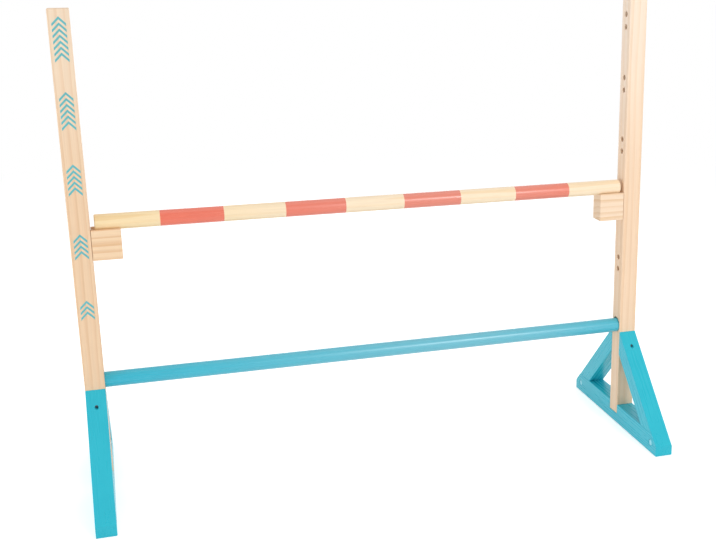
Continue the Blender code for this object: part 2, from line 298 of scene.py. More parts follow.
# %% Rings of a tree
GRAIN_TURNS = {"X": (0, -math.pi / 2, 0), "Z": (0, 0, 0)}     # each lays the grain along Z
GRAIN_AXES = {"X": (1, 0, 0), "Z": (0, 0, 1)}
RING_WANDER = 6 * MM                    # how far a ring strays from a true circle
WANDER_LENGTH = 45 * MM                 # from one stray to the next, across the grain
WANDER_SQUEEZE = 0.12                   # along the grain a stray is eight times as long
UNEVEN_YEARS = 2.5                      # years that are alike before the next wide or thin ones
UNEVEN_SHIFT = 1.5                      # years by which such a spell moves a ring
SUMMER_START, SUMMER_END = 0.30, 0.92   # when late wood darkens, as a share of the year's ring
WINTER_START, WINTER_END = 0.94, 1.0
PALEST_YEAR = 0.45                      # strength of the palest ring; the darkest has 1


def ring_pattern(tree, turned, pitch):
    """Late wood from 0 to 1: one ring a year, of uneven width and strength, about the turned Z axis."""
    slow = add_node(tree, "Mapping", {"Vector": turned.outputs[0], "Scale": (1, 1, WANDER_SQUEEZE)})
    drift = add_node(tree, "TexNoise", {"Vector": slow.outputs[0], "Scale": 1 / WANDER_LENGTH,
                                        "Detail": 1.5})
    centred = add_node(tree, "VectorMath", {0: drift.outputs["Color"], 1: (0.5, 0.5, 0.5)},
                       operation="SUBTRACT")
    bent = add_node(tree, "VectorMath", {0: centred.outputs[0], 1: (RING_WANDER * 2,) * 3,
                                         2: turned.outputs[0]}, operation="MULTIPLY_ADD")
    across = add_node(tree, "VectorMath", {0: bent.outputs[0], 1: (1, 1, 0)}, operation="MULTIPLY")
    radius = add_node(tree, "VectorMath", {0: across.outputs[0]}, operation="LENGTH")
    uneven = add_node(tree, "TexNoise", {"W": radius.outputs["Value"], "Scale": 1 / (UNEVEN_YEARS * pitch)},
                      noise_dimensions="1D")
    grown = add_node(tree, "Math", {0: uneven.outputs["Fac"], 1: UNEVEN_SHIFT * pitch,
                                    2: radius.outputs["Value"]}, operation="MULTIPLY_ADD")
    years = add_node(tree, "Math", {0: grown.outputs[0], 1: pitch}, operation="DIVIDE")
    season = add_node(tree, "Math", {0: years.outputs[0]}, operation="FRACT")
    summer = add_node(tree, "MapRange", {"Value": season.outputs[0], "From Min": SUMMER_START,
                                         "From Max": SUMMER_END}, interpolation_type="SMOOTHSTEP")
    winter = add_node(tree, "MapRange", {"Value": season.outputs[0], "From Min": WINTER_END,
                                         "From Max": WINTER_START})
    late_wood = add_node(tree, "Math", {0: summer.outputs[0], 1: winter.outputs[0]}, operation="MULTIPLY")
    year = add_node(tree, "Math", {0: years.outputs[0]}, operation="FLOOR")
    luck = add_node(tree, "TexWhiteNoise", {"W": year.outputs[0]}, noise_dimensions="1D")
    strength = add_node(tree, "MapRange", {"Value": luck.outputs["Value"], "To Min": PALEST_YEAR})
    return add_node(tree, "Math", {0: late_wood.outputs[0], 1: strength.outputs[0]}, operation="MULTIPLY")

# %% [markdown]
# Three tones lie over the rings. Fine fibres streak the wood along its grain, and the same fibres
# stand up a little and scatter the sheen. Sawn end grain is a shade duller than the faces. And a
# piece may turn darker and warmer along its length, which is painted shade where less light falls
# on it. Each tone is a colour that multiplies the rings, and white leaves them alone.

# %% Planed pine and turned beech
FIBRE_WIDTH = 1.8 * MM
FIBRE_SQUEEZE = 0.02                    # along the grain a fibre is fifty times as long
FIBRE_TONES = (0.95, 1.03)
END_FACING = (0.75, 0.98)               # how squarely a face looks along the grain to be an end
END_GRAIN_TINT = "#F8F4EE"
# The next two tints are painted shade: one for the lower posts, one for the crossbar's left end.
PAINTED_SHADE_TINT = "#FAEFE2"
BAR_PAINTED_SHADE_TINT = "#FFFAE5"
RAISED_GRAIN = 0.12 * MM
FIBRE_SHARE = 0.4                       # of the relief; the late wood gives the rest
WOOD_ROUGHNESS = (0.62, 0.48)           # between fibres and on them
WOOD_IOR = 1.45


def wood_material(name, along, pith, early, late, pitch, lit_end=1.0, shaded_end=2.0, tint=PAINTED_SHADE_TINT,
                  gloss=0.5):
    """Wood with its grain along X or Z; pith is how far the tree's middle is from it, once turned.

    It takes on the tint as painted shade, from none at the lit end to all of it at the shaded end, two
    places along the grain in metres.
    """
    material, tree = new_material(name)
    place = add_node(tree, "TexCoord")
    turned = add_node(tree, "Mapping", {"Vector": place.outputs["Object"], "Location": pith,
                                        "Rotation": GRAIN_TURNS[along]})
    late_wood = ring_pattern(tree, turned, pitch)
    ringed = add_node(tree, "Mix", {0: late_wood.outputs[0], 6: linear(early), 7: linear(late)},
                      data_type="RGBA")
    fibres = add_node(tree, "Mapping", {"Vector": turned.outputs[0], "Scale": (1, 1, FIBRE_SQUEEZE)})
    fibre = add_node(tree, "TexNoise", {"Vector": fibres.outputs[0], "Scale": 1 / FIBRE_WIDTH,
                                        "Detail": 3, "Roughness": 0.6})
    streak = add_node(tree, "MapRange", {"Value": fibre.outputs["Fac"],
                                         "From Min": NOISE_LOW, "From Max": NOISE_HIGH,
                                         "To Min": FIBRE_TONES[0], "To Max": FIBRE_TONES[1]})
    streaked = add_node(tree, "VectorMath", {0: ringed.outputs[2], 1: streak.outputs[0]},
                        operation="MULTIPLY")
    facing = add_node(tree, "VectorMath", {0: place.outputs["Normal"], 1: GRAIN_AXES[along]},
                      operation="DOT_PRODUCT")
    end = add_node(tree, "Math", {0: facing.outputs["Value"]}, operation="ABSOLUTE")
    end_grain = add_node(tree, "MapRange", {"Value": end.outputs[0], "From Min": END_FACING[0],
                                            "From Max": END_FACING[1]})
    end_tone = add_node(tree, "Mix", {0: end_grain.outputs[0], 6: WHITE, 7: linear(END_GRAIN_TINT)},
                        data_type="RGBA")
    toned = add_node(tree, "VectorMath", {0: streaked.outputs[0], 1: end_tone.outputs[2]},
                     operation="MULTIPLY")
    spot = add_node(tree, "SeparateXYZ", {"Vector": place.outputs["Object"]})
    painted_shade_share = add_node(tree, "MapRange", {"Value": spot.outputs[along], "From Min": lit_end,
                                           "From Max": shaded_end}, interpolation_type="SMOOTHSTEP")
    painted_shade_tone = add_node(tree, "Mix", {0: painted_shade_share.outputs[0], 6: WHITE, 7: linear(tint)},
                      data_type="RGBA")
    colour = add_node(tree, "VectorMath", {0: toned.outputs[0], 1: painted_shade_tone.outputs[2]},
                      operation="MULTIPLY")
    height = add_node(tree, "Math", {0: fibre.outputs["Fac"], 1: FIBRE_SHARE, 2: late_wood.outputs[0]},
                      operation="MULTIPLY_ADD")
    bump = add_node(tree, "Bump", {"Height": height.outputs[0], "Strength": BUMP_STRENGTH,
                                   "Distance": RAISED_GRAIN})
    sheen = add_node(tree, "MapRange", {"Value": fibre.outputs["Fac"], "To Min": WOOD_ROUGHNESS[0],
                                        "To Max": WOOD_ROUGHNESS[1]})
    shader = add_node(tree, "BsdfPrincipled", {"Base Color": colour.outputs[0],
                                               "Roughness": sheen.outputs[0],
                                               "Normal": bump.outputs[0], "IOR": WOOD_IOR,
                                               "Specular IOR Level": gloss})
    put_out(tree, shader)
    print(f"{name}: rings about {pitch / MM:.1f} mm apart, grain along {along}")
    return material


# Painted shade: each post turns darker and warmer from near its top down to about 0.5 m, and stays so
# below.
PINE_POST = {
    "left": wood_material("planed_pine_left_post", "Z", pith=(0.62, 0.035, 0.1), pitch=12 * MM,
                          early="#F0D8BD", late="#E8C9A8", lit_end=0.86, shaded_end=0.50),
    "right": wood_material("planed_pine_right_post", "Z", pith=(-0.44, 0.060, 0.7), pitch=13 * MM,
                           early="#F2DDC8", late="#EDD3B7", lit_end=0.86, shaded_end=0.45),
}
PINE_BLOCK = {
    "left": wood_material("planed_pine_left_block", "X", pith=(0.59, 0.05, 0.2), pitch=13 * MM,
                          early="#F1D1AC", late="#E0B385"),
    "right": wood_material("planed_pine_right_block", "X", pith=(0.32, 0.03, 0.9), pitch=12 * MM,
                           early="#F0D6BB", late="#E2BE95"),
}
# Painted shade: the crossbar's bare wood turns yellower and a little darker from its middle to its left
# end, away from where the key's broad sheen falls.
PINE_BAR = wood_material("turned_pine_crossbar", "X", pith=(0.53, 0.03, 0.4), pitch=9 * MM,
                         early="#F5E0C2", late="#F0D5AF", lit_end=-0.05, shaded_end=-0.50,
                         tint=BAR_PAINTED_SHADE_TINT, gloss=0.25)
BEECH = wood_material("beech_dowel", "X", pith=(0.6, 0.05, 0.3), pitch=2 * MM,
                      early="#E8C69A", late="#D8AA78")

# %% [markdown]
# The paint of both bars is palest between their middle and their right end. This is painted sheen:
# the broad reflection of the key light on the round bars, laid into the colour as a paler, greyer
# tone. It could be two materials that meet at a line, but a sheen has no edge, so one smooth curve
# through four places along the bar says how much of the paler colour shows. A colour ramp holds the
# curve.

# %% Painted sheen in the paint of the bars
PAINTED_SHEEN_PLACES = (-0.45, 0.0, 0.30, 0.52)  # along the bar, from its left end to past its right end
PAINTED_SHEEN_AMOUNTS = (0.0, 0.9, 1.0, 0.3)     # share of the painted sheen's paler colour at each of them


def painted_sheen_share(tree, place):
    """How much of the painted sheen's paler colour shows, from 0 to 1, by the place along X."""
    first, last = PAINTED_SHEEN_PLACES[0], PAINTED_SHEEN_PLACES[-1]
    apart = add_node(tree, "SeparateXYZ", {"Vector": place.outputs["Object"]})
    along_bar = add_node(tree, "MapRange", {"Value": apart.outputs["X"], "From Min": first,
                                            "From Max": last})
    curve = add_node(tree, "ValToRGB", {"Fac": along_bar.outputs[0]})
    curve.color_ramp.interpolation = "B_SPLINE"
    stops = curve.color_ramp.elements
    for spot in PAINTED_SHEEN_PLACES[1:-1]:
        stops.new((spot - first) / (last - first))
    for stop, share in zip(stops, PAINTED_SHEEN_AMOUNTS):
        stop.color = (share, share, share, 1)
    return curve

# %% [markdown]
# The feet and the stretcher are sprayed with a satin turquoise paint, and the crossbar's bands
# with the same kind of paint in coral red. A sprayed coat on pine is never quite flat: the grain
# raises under it in long low ripples, it has a faint orange peel, and the sheen changes a little
# from place to place. So the colour is nearly even, and the grain shows in the bump and the
# roughness. The feet look smoother, as if rubbed down before the last coat, so their ripples are
# far lower. The arrow heads are screen printed, with an ink that dries more matt.

# %% Sprayed paints and printing ink
RIDGE_WIDTH = 4 * MM                    # from ripple to ripple, across the grain
RIDGE_SQUEEZE = 0.05                    # along the grain a ripple is twenty times as long
CLOUD_LENGTH = 45 * MM
PEEL_WIDTH = 1.5 * MM
PEEL_SHARE = 0.15                       # of the relief; the ripples give the rest
SHEEN_SPREAD = 0.07
PAINT_IOR = 1.5


def paint_material(name, turn, colour, shade, painted_sheen_tone=None, gloss=0.5, roughness=0.28, ripple=0.06 * MM):
    """Satin paint over wood grain, where turn lays the grain along Z and ripple is its height."""
    material, tree = new_material(name)
    place = add_node(tree, "TexCoord")
    turned = add_node(tree, "Mapping", {"Vector": place.outputs["Object"], "Rotation": turn})
    grain = add_node(tree, "Mapping", {"Vector": turned.outputs[0], "Scale": (1, 1, RIDGE_SQUEEZE)})
    ridges = add_node(tree, "TexNoise", {"Vector": grain.outputs[0], "Scale": 1 / RIDGE_WIDTH,
                                         "Detail": 3, "Roughness": 0.55})
    cloud = add_node(tree, "TexNoise", {"Vector": turned.outputs[0], "Scale": 1 / CLOUD_LENGTH,
                                        "Detail": 2})
    even = add_node(tree, "MapRange", {"Value": cloud.outputs["Fac"],
                                       "From Min": NOISE_LOW, "From Max": NOISE_HIGH})
    coat = add_node(tree, "Mix", {0: even.outputs[0], 6: linear(colour), 7: linear(shade)},
                    data_type="RGBA")
    # Painted sheen: the coat turns paler and greyer along the bar where the key's broad reflection falls.
    if painted_sheen_tone:
        painted_sheen_mask = painted_sheen_share(tree, place)
        coat = add_node(tree, "Mix", {0: painted_sheen_mask.outputs["Color"], 6: coat.outputs[2], 7: linear(painted_sheen_tone)},
                        data_type="RGBA")
    satin = add_node(tree, "MapRange", {"Value": ridges.outputs["Fac"], "To Min": roughness - SHEEN_SPREAD,
                                        "To Max": roughness + SHEEN_SPREAD})
    peel = add_node(tree, "TexNoise", {"Vector": place.outputs["Object"], "Scale": 1 / PEEL_WIDTH,
                                       "Detail": 1})
    height = add_node(tree, "Math", {0: peel.outputs["Fac"], 1: PEEL_SHARE, 2: ridges.outputs["Fac"]},
                      operation="MULTIPLY_ADD")
    bump = add_node(tree, "Bump", {"Height": height.outputs[0], "Strength": BUMP_STRENGTH,
                                   "Distance": ripple})
    shader = add_node(tree, "BsdfPrincipled", {"Base Color": coat.outputs[2],
                                               "Roughness": satin.outputs[0],
                                               "Normal": bump.outputs[0], "IOR": PAINT_IOR,
                                               "Specular IOR Level": gloss})
    put_out(tree, shader)
    print(f"{name}: {colour}")
    return material


ALONG_X = GRAIN_TURNS["X"]
ALONG_Y = (math.pi / 2, 0, 0)
ALONG_Z = GRAIN_TURNS["Z"]
LEG_TURN = {"front": (math.pi / 4, 0, 0), "rear": (-math.pi / 4, 0, 0)}
TURQUOISE, TURQUOISE_SHADE = "#2FBACC", "#2AB6C9"
FOOT_COAT = {"gloss": 0.25, "ripple": 0.008 * MM}
# The stretcher's paler tone from its middle to its right end is painted sheen.
TURQUOISE_BAR = paint_material("turquoise_satin_paint_stretcher", ALONG_X, "#08B3CA", "#06AEC6",
                               painted_sheen_tone="#68B6C7", gloss=0.6)
TURQUOISE_RAIL = paint_material("turquoise_satin_paint_rail", ALONG_Y, TURQUOISE, TURQUOISE_SHADE,
                                **FOOT_COAT)
TURQUOISE_LEG = {end: paint_material(f"turquoise_satin_paint_{end}_leg", turn, TURQUOISE,
                                     TURQUOISE_SHADE, **FOOT_COAT)
                 for end, turn in LEG_TURN.items()}
TURQUOISE_DOWEL = paint_material("turquoise_satin_paint_end_grain", ALONG_X, "#90DDEA", "#86D8E6")
# The coral bands' paler tone from the middle to the right end is painted sheen.
CORAL = paint_material("coral_satin_paint", ALONG_X, "#EC6C50", "#E9674B", painted_sheen_tone="#DC816D", gloss=0.65)
PRINT = paint_material("turquoise_screen_print", ALONG_Z, "#5FB6BC", "#57AFB6", roughness=0.5,
                       ripple=0.04 * MM)

# %% [markdown]
# The screws are phosphated steel. A phosphate coat is a skin of tiny dull crystals that holds a
# little oil: mid grey, cloudy, and only partly metallic, so a screw looks softer than bare steel
# and shows as a dark dot only because it sits deep in its recess. The crystals are too fine to
# see, so their clouds are drawn 0.8 mm wide.

# %% Phosphated steel
CRYSTAL_CLOUD = 0.8 * MM
PHOSPHATE_ROUGHNESS = (0.40, 0.60)
METAL_SHARE = 0.4


def phosphate_material():
    """Cloudy grey phosphate over steel."""
    material, tree = new_material("black_phosphated_steel")
    place = add_node(tree, "TexCoord")
    cloud = add_node(tree, "TexNoise", {"Vector": place.outputs["Object"], "Scale": 1 / CRYSTAL_CLOUD,
                                        "Detail": 3})
    rough = add_node(tree, "MapRange", {"Value": cloud.outputs["Fac"], "To Min": PHOSPHATE_ROUGHNESS[0],
                                        "To Max": PHOSPHATE_ROUGHNESS[1]})
    tone = add_node(tree, "Mix", {0: cloud.outputs["Fac"], 6: linear("#85868B"), 7: linear("#707176")},
                    data_type="RGBA")
    shader = add_node(tree, "BsdfPrincipled", {"Base Color": tone.outputs[2],
                                               "Roughness": rough.outputs[0],
                                               "Metallic": METAL_SHARE})
    put_out(tree, shader)
    print(material.name)
    return material


PHOSPHATE = phosphate_material()

# %% [markdown]
# The imported model gives the sizes of the timber: the posts are 35 mm square and stand 1008 mm
# apart. The rest are marks that a joiner uses all over the piece: how much an edge is eased, how much
# daylight a joint gets, and the holes for the screws.

# %% Sizes from the imported model
SIDES = {"left": -1, "right": 1}
ENDS = {"front": -1, "rear": 1}
post_low, post_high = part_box("right_post")
STOCK = post_high.x - post_low.x
HALF = STOCK / 2
POST_X = (post_low.x + post_high.x) / 2
FACE_X = post_low.x                     # inner face of the right post
stretcher_low, stretcher_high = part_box("stretcher_bar")
STRETCHER_HEIGHT = (stretcher_low.z + stretcher_high.z) / 2
BAR_RADIUS = (stretcher_high.z - stretcher_low.z) / 2
GAP = 0.3 * MM                          # daylight between pieces that touch, and a drill's head start
EASED = 1.5 * MM
HEAD_HEIGHT = 2.4 * MM                  # of a screw
SCREW_RECESS = 3.3 * MM                 # radius
SCREW_HOLE = 2.05 * MM                  # radius
PIN_SIDES = 40                          # pegs, dowels, screws and their holes
BAR_SIDES = 96
print(f"stock {STOCK / MM:.1f} mm, posts at x = {POST_X / MM:.1f} mm,",
      f"stretcher at {STRETCHER_HEIGHT / MM:.0f} mm")

# %% [markdown]
# Each post is planed on four sides with all its edges eased. Five pairs of blind sockets are
# drilled into its inner face. A drill bit leaves a faintly flared mouth, so the drill is a rod
# whose last ring opens out. It is modelled once and copied up the post. A wide flat bit sinks a
# shallow mortise for the end of the stretcher, which rests at the bottom of it and leaves a dark
# crescent above. From outside a stepped drill makes room for the screw that holds the stretcher,
# wide for its head and narrow for its shank.

# %% The two posts
SOCKET_RADIUS = 5.3 * MM
SOCKET_DEPTH = 27 * MM
SOCKET_FLARE = 0.4 * MM
SOCKET_SIDES = 48
PEG_SPACING = 24 * MM
LEVEL_HEIGHTS = [(343 + 120 * step) * MM for step in range(5)]
MORTISE_RADIUS = 15.5 * MM
MORTISE_DEPTH = stretcher_high.x - FACE_X + GAP
MORTISE_HEIGHT = STRETCHER_HEIGHT + MORTISE_RADIUS - BAR_RADIUS - GAP


def socket_drill(sign):
    """The drill for one peg socket, at the foot of a post's inner face."""
    rings = [(SOCKET_RADIUS + SOCKET_FLARE * 2, -GAP), (SOCKET_RADIUS + SOCKET_FLARE, 0),
             (SOCKET_RADIUS, SOCKET_FLARE), (SOCKET_RADIUS, SOCKET_DEPTH)]
    return rod("socket_drill", rings, (sign * FACE_X, 0, 0), (sign, 0, 0), SOCKET_SIDES)


def screw_room(seat, depth):
    """Rings that make room for a screw: wide down to its seat, narrow down to depth."""
    return [(SCREW_RECESS, -GAP), (SCREW_RECESS, seat), (SCREW_HOLE, seat), (SCREW_HOLE, depth)]


def make_post(side, sign):
    """A post with its ten sockets, its mortise and the room for its stretcher screw."""
    post = stick(f"{side}_post_timber", *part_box(f"{side}_post"))
    round_edges(post, EASED)
    drill = socket_drill(sign)
    heights = [level + shift for level in LEVEL_HEIGHTS for shift in (-PEG_SPACING / 2, PEG_SPACING / 2)]
    drills = [copy_of(drill, "socket_drill_copy", Matrix.Translation((0, 0, height)))
              for height in heights]
    bpy.data.objects.remove(drill)
    mortise = rod("mortise_drill", [(MORTISE_RADIUS, -GAP), (MORTISE_RADIUS, MORTISE_DEPTH)],
                  (sign * FACE_X, 0, MORTISE_HEIGHT), (sign, 0, 0), BAR_SIDES)
    outside = Vector((sign * (FACE_X + STOCK), 0, STRETCHER_HEIGHT))
    head = max(abs(corner.x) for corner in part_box(f"{side}_stretcher_screw"))
    recess = abs(outside.x) - head + HEAD_HEIGHT
    counterbore = rod("counterbore", screw_room(recess, STOCK + GAP), outside, (-sign, 0, 0), PIN_SIDES)
    cut_away(post, [joined(drills, "socket_drills"), mortise, counterbore])
    finish(post, PINE_POST[side], "stands", "pine", f"{side}_post")


for side, sign in SIDES.items():
    make_post(side, sign)

# %% [markdown]
# The left post is printed with groups of turquoise arrow heads, one group at each setting: seven
# at the top and three at the bottom, so that a child can tell the heights apart. The groups were
# set by eye, so each has its own height. Ink lies on the wood as a thin film. An arrow head is a
# short bar at 45 degrees, sawn upright at both ends and mirrored, and it is modelled once.

# %% Printed arrow heads on the left post
ARROW_WIDTH = 22.8 * MM
ARROW_STROKE = 3.3 * MM
ARROW_PITCH = 9.7 * MM
ARROW_TOPS = [366.0 * MM, 485.1 * MM, 606.6 * MM, 728.3 * MM, 850.8 * MM]  # each group's first point
INK = 0.12 * MM
INK_SUNK = 0.05 * MM
FEWEST_ARROWS = 3


def make_arrow():
    """One arrow head with its point at the origin, lying in the plane of the post's front."""
    arm = stick("arrow", (-ARROW_WIDTH, -INK, -ARROW_STROKE / 2),
                (ARROW_WIDTH, INK_SUNK, ARROW_STROKE / 2), (0, math.pi / 4, 0))
    drop = ARROW_STROKE / math.sqrt(2)
    arm.data.transform(Matrix.Translation((0, 0, -drop)))
    saw(arm, (0, 0, 0), (-1, 0, 0), fill=False)
    saw(arm, (ARROW_WIDTH / 2, 0, 0), (1, 0, 0))
    mirror = arm.modifiers.new("other_arm", "MIRROR")
    mirror.merge_threshold = 0.01 * MM
    bpy.ops.object.modifier_apply(modifier=mirror.name)
    return arm


arrow = make_arrow()
for step, top in enumerate(ARROW_TOPS):
    places = [(-POST_X, -HALF, top - ARROW_PITCH * n) for n in range(FEWEST_ARROWS + step)]
    arrows = [copy_of(arrow, "arrow_copy", Matrix.Translation(place)) for place in places]
    finish(joined(arrows, f"left_post_arrows_{step + 1}"), PRINT, "stands", "turquoise_paint")
bpy.data.objects.remove(arrow)

# %% [markdown]
# Each foot is a flat A. Its base rail is a stick with two corners sawn off at 45 degrees, a notch
# in the middle where the post stands, and half its thickness taken off at both ends, where the
# legs lap over it. The long edges are eased before the cuts, because a joiner planes first and
# saws afterwards.

# %% The base rails
_, rail_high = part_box("right_base_rail")
REACH = rail_high.y
RAIL_HEIGHT = rail_high.z
leg_low, leg_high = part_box("right_rear_leg")
TIP_HEIGHT = leg_high.z + leg_low.y - REACH                # y + z is the same all along a leg's back
UNDER_LEG = REACH + TIP_HEIGHT - STOCK * math.sqrt(2)      # y + z on the underside of a leg
HAIRLINE = 0.05 * MM                                       # what the paint leaves open of a lap
NOTCH = 20 * MM                                            # height of its floor above the ground
DOWEL_RADIUS = 6 * MM
DOWEL_Y = (UNDER_LEG - RAIL_HEIGHT / 2 + REACH) / 2
DOWEL_Z = RAIL_HEIGHT / 2
FOOT_SCREW_SEAT = 8 * MM
NEARLY_ONE = 0.99                       # the cosine of directions that are as good as the same


def long_edge(axis):
    """A test for edges that run along an axis."""
    axis = Vector(axis).normalized()

    def runs_along(edge):
        start, end = (vert.co for vert in edge.verts)
        return abs((end - start).normalized().dot(axis)) > NEARLY_ONE
    return runs_along


def dowel_drill(sign, way):
    """Makes room for one corner dowel, right through the foot."""
    start = (sign * (POST_X + STOCK), way * DOWEL_Y, DOWEL_Z)
    rings = [(DOWEL_RADIUS + GAP, 0), (DOWEL_RADIUS + GAP, 2 * STOCK)]
    return rod("dowel_drill", rings, start, (-sign, 0, 0), PIN_SIDES)


def make_rail(side, sign):
    """A base rail with its sawn corners, its notch, its two half-laps and its drill holes."""
    low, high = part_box(f"{side}_base_rail")
    rail = stick(f"{side}_base_rail_timber", low, high)
    round_edges(rail, EASED, long_edge((0, 1, 0)))
    for way in ENDS.values():
        saw(rail, (0, way * REACH, TIP_HEIGHT), (0, way, 1))
    cutters = [stick("notch", (low.x - STOCK, -HALF - GAP, NOTCH),
                     (high.x + STOCK, HALF + GAP, high.z + STOCK))]
    middle = (low.x + high.x) / 2
    for way in ENDS.values():
        inner, outer = sorted((middle, middle + sign * STOCK))
        lap = stick("lap", (inner, -STOCK * 2, 0), (outer, STOCK * 2, 4 * STOCK))
        lap.data.transform(Matrix.Rotation(-way * math.pi / 4, 4, "X"))
        lap.data.transform(Matrix.Translation((0, way * (UNDER_LEG - HAIRLINE * math.sqrt(2)), 0)))
        cutters.append(lap)
        cutters.append(dowel_drill(sign, way))
    cutters.append(rod("foot_drill", screw_room(FOOT_SCREW_SEAT, RAIL_HEIGHT), (middle, 0, 0),
                       (0, 0, 1), PIN_SIDES))
    cut_away(rail, cutters)
    finish(rail, TURQUOISE_RAIL, "stands", "turquoise_paint", f"{side}_base_rail")


for side, sign in SIDES.items():
    make_rail(side, sign)

# %% [markdown]
# A leg is the same square stock laid at 45 degrees. Three saw cuts shape it: one upright against
# the post, which leaves a feather edge at the top, one level on the floor, and one upright at the
# tip. Then the inner half is cut away where it laps the rail, and a recess is drilled level
# into the sloping face for the screw.

# %% The four legs
LEG_SCREW_HEIGHT = sum(corner.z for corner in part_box("right_front_leg_screw")) / 2
LEG_SCREW_SEAT = 33.5 * MM              # from the middle of the post


def make_leg(side, sign, end, way):
    """A leg at 45 degrees, along the line where y and z, counted outwards and up, have one sum."""
    low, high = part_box(f"{side}_{end}_leg")
    middle = (low.x + high.x) / 2
    line = (REACH + TIP_HEIGHT + UNDER_LEG) / 2
    centre = Vector((middle, way * line / 2, line / 2))
    size = Vector((high.x - low.x, STOCK, 2 * REACH))
    leg = stick(f"{side}_{end}_leg_timber", centre - size / 2, centre + size / 2,
                (way * math.pi / 4, 0, 0))
    round_edges(leg, EASED, long_edge((0, way, -1)))
    saw(leg, (0, way * (HALF + GAP), 0), (0, -way, 0))
    saw(leg, (0, 0, 0), (0, 0, -1))
    saw(leg, (0, way * REACH, 0), (0, way, 0))
    inner, outer = sorted((middle + sign * HAIRLINE, middle - sign * STOCK))
    lap = stick("lap", (inner, -2 * REACH, -STOCK), (outer, 2 * REACH, RAIL_HEIGHT + HAIRLINE))
    rings = [(SCREW_HOLE, 0), (SCREW_HOLE, LEG_SCREW_SEAT), (SCREW_RECESS, LEG_SCREW_SEAT),
             (SCREW_RECESS, LEG_SCREW_SEAT + STOCK)]
    drill = rod("leg_drill", rings, (middle, 0, LEG_SCREW_HEIGHT), (0, way, 0), PIN_SIDES)
    cut_away(leg, [lap, dowel_drill(sign, way), drill])
    finish(leg, TURQUOISE_LEG[end], "stands", "turquoise_paint", f"{side}_{end}_leg")


for side, sign in SIDES.items():
    for end, way in ENDS.items():
        make_leg(side, sign, end, way)

# %% [markdown]
# A dowel pins each corner of a foot. It sits a hair below the faces, and its painted end shows a
# paler turquoise than the foot. So each dowel is a piece of its own, a short rod with a paler coat,
# and not a spot in the material of the leg.

# %% Corner dowels
DOWEL_CHAMFER = 0.6 * MM


def round_bar_rings(radius, length, chamfer):
    """Rings of a plain round bar with a broken edge at both ends."""
    return [(radius - chamfer, 0), (radius, chamfer),
            (radius, length - chamfer), (radius - chamfer, length)]


for side, sign in SIDES.items():
    for end, way in ENDS.items():
        node = f"{side}_{end}_corner_dowel"
        low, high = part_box(node)
        start = (low.x, way * DOWEL_Y, DOWEL_Z)
        rings = round_bar_rings(DOWEL_RADIUS, high.x - low.x, DOWEL_CHAMFER)
        dowel = rod(f"{node}_painted", rings, start, (1, 0, 0), PIN_SIDES)
        finish(dowel, TURQUOISE_DOWEL, "stands", "turquoise_paint", node)

# %% [markdown]
# The eight screws are modelled as one head and one shank, in three lengths. The head is a low pan
# with a rounded rim. Its cross recess is cut with two blades that narrow towards the bottom, as a
# screwdriver's tip does.

# %% Screws
HEAD_RADIUS = 3.0 * MM
HEAD_OUTLINE = [(0.72, 1.0), (0.90, 0.86), (1.0, 0.55), (1.0, 0.0)]    # shares of radius and height
SHANK_RADIUS = 1.75 * MM
POINT_LENGTH = 3 * SHANK_RADIUS
POINT_RADIUS = 0.1 * MM
BLADE_REACH = 1.4 * MM
BLADE_HALF = 0.4 * MM
BLADE_DEPTH = 1.5 * MM
BLADE_TIP = (0.45, 0.7, 1)              # size at the bottom, as shares of that at the top
BLADE_ANGLES = (20, 110)                # degrees


def make_screw(name, seat, direction, length):
    """A screw whose head rests on seat, and whose shank goes length deep in a direction."""
    seat, direction = Vector(seat), Vector(direction)
    rings = [(HEAD_RADIUS * wide, -HEAD_HEIGHT * high) for wide, high in HEAD_OUTLINE]
    rings += [(SHANK_RADIUS, 0), (SHANK_RADIUS, length - POINT_LENGTH), (POINT_RADIUS, length)]
    screw = rod(name, rings, seat, direction, PIN_SIDES)
    blade = stick("blade", (-BLADE_REACH, -BLADE_HALF, -BLADE_DEPTH),
                  (BLADE_REACH, BLADE_HALF, BLADE_HALF))
    choose(blade, "FACE", lambda face: face.normal.z < -NEARLY_ONE)
    bpy.ops.transform.resize(value=BLADE_TIP, center_override=(0, 0, -BLADE_DEPTH))
    close_up()
    turn = (-direction).to_track_quat("Z", "Y").to_matrix().to_4x4()
    place = Matrix.Translation(seat - direction * HEAD_HEIGHT) @ turn
    cross = [copy_of(blade, "cross", place @ Matrix.Rotation(math.radians(angle), 4, "Z"))
             for angle in BLADE_ANGLES]
    bpy.data.objects.remove(blade)
    cut_away(screw, cross)
    return screw


for side, sign in SIDES.items():
    for end, way in ENDS.items():
        node = f"{side}_{end}_leg_screw"
        low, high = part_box(node)
        head = max(abs(low.y), abs(high.y))
        tip = min(abs(low.y), abs(high.y))
        seat = (sign * POST_X, way * (head - HEAD_HEIGHT), LEG_SCREW_HEIGHT)
        screw = make_screw(f"{node}_phosphated", seat, (0, -way, 0), head - HEAD_HEIGHT - tip)
        finish(screw, PHOSPHATE, "stands", "steel", node)
    node = f"{side}_foot_screw"
    low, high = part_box(node)
    screw = make_screw(f"{node}_phosphated", (sign * POST_X, 0, low.z + HEAD_HEIGHT), (0, 0, 1),
                       high.z - low.z - HEAD_HEIGHT)
    finish(screw, PHOSPHATE, "stands", "steel", node)
    node = f"{side}_stretcher_screw"
    low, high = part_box(node)
    head = max(abs(low.x), abs(high.x))
    screw = make_screw(f"{node}_phosphated", (sign * (head - HEAD_HEIGHT), 0, STRETCHER_HEIGHT),
                       (-sign, 0, 0), high.x - low.x - HEAD_HEIGHT)
    finish(screw, PHOSPHATE, "stands", "steel", node)

# %% [markdown]
# The stretcher is a 28 mm dowel whose ends stand in the mortises of the posts. A cylinder with two
# bevelled rims would do, but the rod tool draws rings anyway, so the broken edge at each end is
# one smaller ring.

